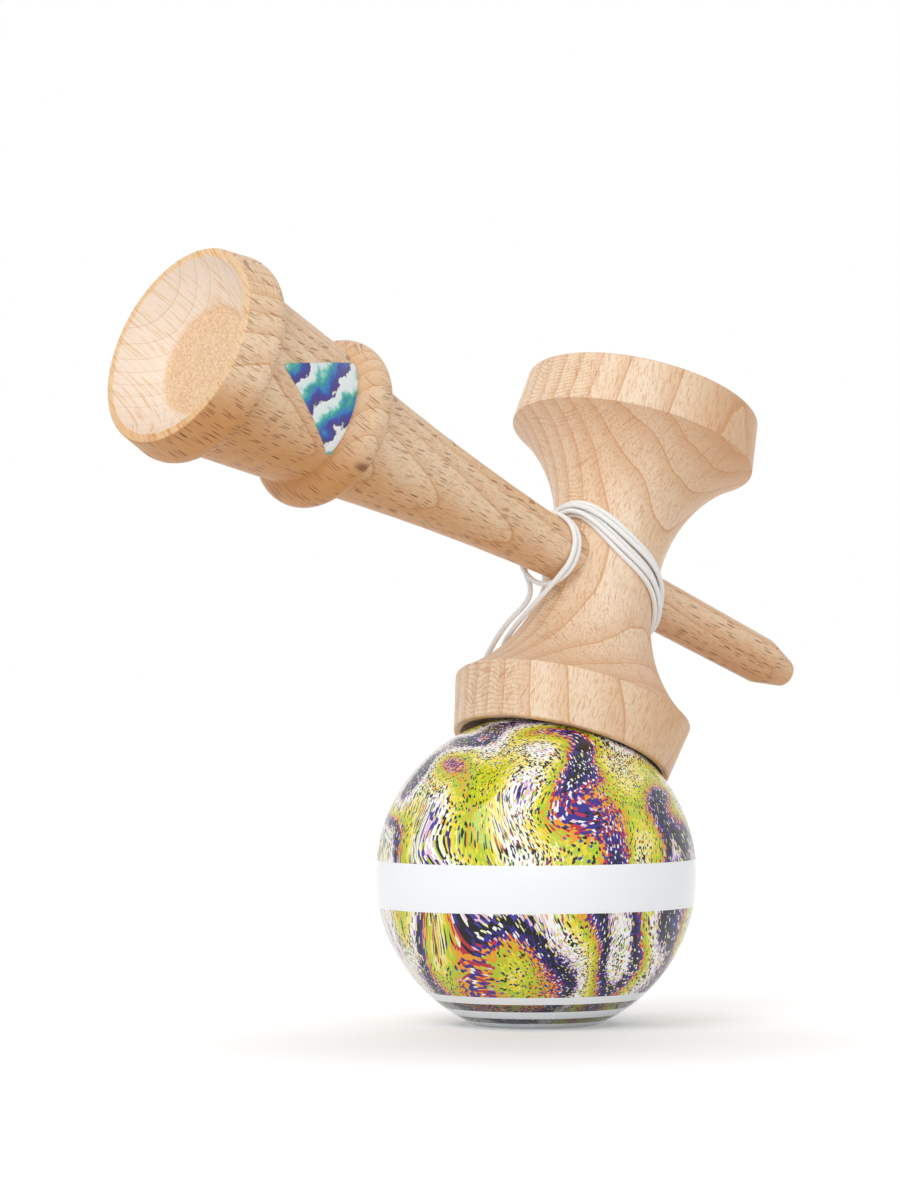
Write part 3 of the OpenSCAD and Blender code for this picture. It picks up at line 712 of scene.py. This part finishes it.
# Sticker: a three-cornered vinyl label, stuck on the neck of the spindle and printed with plain waves in
# white, teal, blue and violet that dark lines part.
def printed_vinyl():
    middle_x = -88
    sink = math.radians(2.5)
    wave_lean = 0.5
    wave_width = 7
    wave_sway = 9
    ripples_per_mm = 0.2
    face_up = handle_up * math.cos(sink) - handle_side * math.sin(sink)
    axes = Matrix((handle_fore, face_up, handle_fore.cross(face_up)))
    material, tree, shader = new_material("printed vinyl, satin")
    place = add_node(tree, "TexCoord").node.outputs["Object"]
    label = add_node(tree, "Mapping", {0: place, "Location": -(axes @ on_handle(middle_x, 0, 0)) / MM,
                                       "Rotation": axes.to_euler(), "Scale": (1 / MM,) * 3})
    flat = add_node(tree, "Mapping", {0: label, "Rotation": (0, 0, wave_lean), "Scale": (1, 1, 0)})
    ripple = add_node(tree, "TexNoise", {"Vector": flat, "Scale": ripples_per_mm, "Detail": 3,
                                         "Roughness": 0.6})
    along = add_node(tree, "SeparateXYZ", {0: flat})
    sway = add_node(tree, "Math", {0: ripple, 1: wave_sway, 2: along}, operation="MULTIPLY_ADD")
    phase = add_node(tree, "Math", {0: sway, 1: 1 / wave_width}, operation="MULTIPLY")
    wave = add_node(tree, "Math", {0: phase}, operation="FRACT")
    ramp = add_node(tree, "ValToRGB", {0: wave})
    lay_inks(ramp, (
        (0.0, "#15152A"), (0.06, "#F4F8F9"), (0.3, "#E4F2F2"), (0.42, "#5FC4B6"), (0.55, "#2C9A9A"),
        (0.68, "#2E86C8"), (0.82, "#2B4FA8"), (0.94, "#46358C")))
    tree.links.new(ramp, shader.inputs["Base Color"])
    shader.inputs["Roughness"].default_value = 0.3
    return material


dress("ken_sticker", printed_vinyl())

# Table and light: a flat white sweep, a broad soft key light from the upper left, a weaker one from the front
# and even white surroundings. Seen by the camera or in a reflection the sweep also glows, which takes it to
# plain white all round; round a spot before the foot the glow is turned down, which paints a soft shadow
# there.
table_reach = 6
painted_shadow_spot = Vector((-0.03, -0.034, 0))
spot_from = 0.01
spot_to = 0.085
painted_shadow_glow = 0.03
open_glow = 0.36
ambient = 0.64
floor_mesh = bpy.data.meshes.new("table")
shape = bmesh.new()
bmesh.ops.create_grid(shape, x_segments=1, y_segments=1, size=table_reach)
shape.to_mesh(floor_mesh)
shape.free()
table = bpy.data.objects.new("table", floor_mesh)
bpy.context.scene.collection.objects.link(table)


def seen_directly(tree):
    ray = add_node(tree, "LightPath").node
    return add_node(tree, "Math", {0: ray.outputs["Is Camera Ray"], 1: ray.outputs["Is Glossy Ray"]},
                    operation="MAXIMUM")


sweep, sweep_tree, paper = new_material("white glowing sweep with painted shadow")
paper.inputs["Base Color"].default_value = linear("#F4F4F4")
paper.inputs["Roughness"].default_value = 0.9
paper.inputs["Specular IOR Level"].default_value = 0.0
floor_place = add_node(sweep_tree, "TexCoord").node.outputs["Object"]
off_spot = add_node(sweep_tree, "VectorMath", {0: floor_place, 1: painted_shadow_spot},
                    operation="DISTANCE").node.outputs["Value"]
# Less glow round the spot before the foot: a painted shadow.
lift = add_node(sweep_tree, "MapRange", {0: off_spot, 1: spot_from, 2: spot_to, 3: painted_shadow_glow, 4: open_glow})
glow = add_node(sweep_tree, "Math", {0: seen_directly(sweep_tree), 1: lift}, operation="MULTIPLY")
white = add_node(sweep_tree, "Emission", {"Color": (1, 1, 1, 1), "Strength": glow})
lit_paper = add_node(sweep_tree, "AddShader", {0: paper.outputs[0], 1: white})
sweep_tree.links.new(lit_paper, sweep_tree.nodes["Material Output"].inputs["Surface"])
floor_mesh.materials.append(sweep)


def soft_light(name, comes_from, spread, strength):
    lamp = bpy.data.lights.new(name, "SUN")
    lamp.angle = math.radians(spread)
    lamp.energy = strength
    light = bpy.data.objects.new(name, lamp)
    bpy.context.scene.collection.objects.link(light)
    light.rotation_mode = "QUATERNION"
    light.rotation_quaternion = (-Vector(comes_from)).to_track_quat("-Z", "Y")


soft_light("key_light", comes_from=(-0.8, -0.25, 0.7), spread=40, strength=1.0)
soft_light("front_light", comes_from=(-0.55, -0.8, 0.06), spread=60, strength=0.46)

world = bpy.data.worlds.new("white surroundings")
bpy.context.scene.world = world
world.use_nodes = True
sky = world.node_tree.nodes["Background"]
sky.inputs["Color"].default_value = (1, 1, 1, 1)
level = add_node(world.node_tree, "Math", {0: seen_directly(world.node_tree), 1: 1 - ambient, 2: ambient},
                 operation="MULTIPLY_ADD")
world.node_tree.links.new(level, sky.inputs["Strength"])
bpy.context.scene.view_settings.view_transform = "Standard"
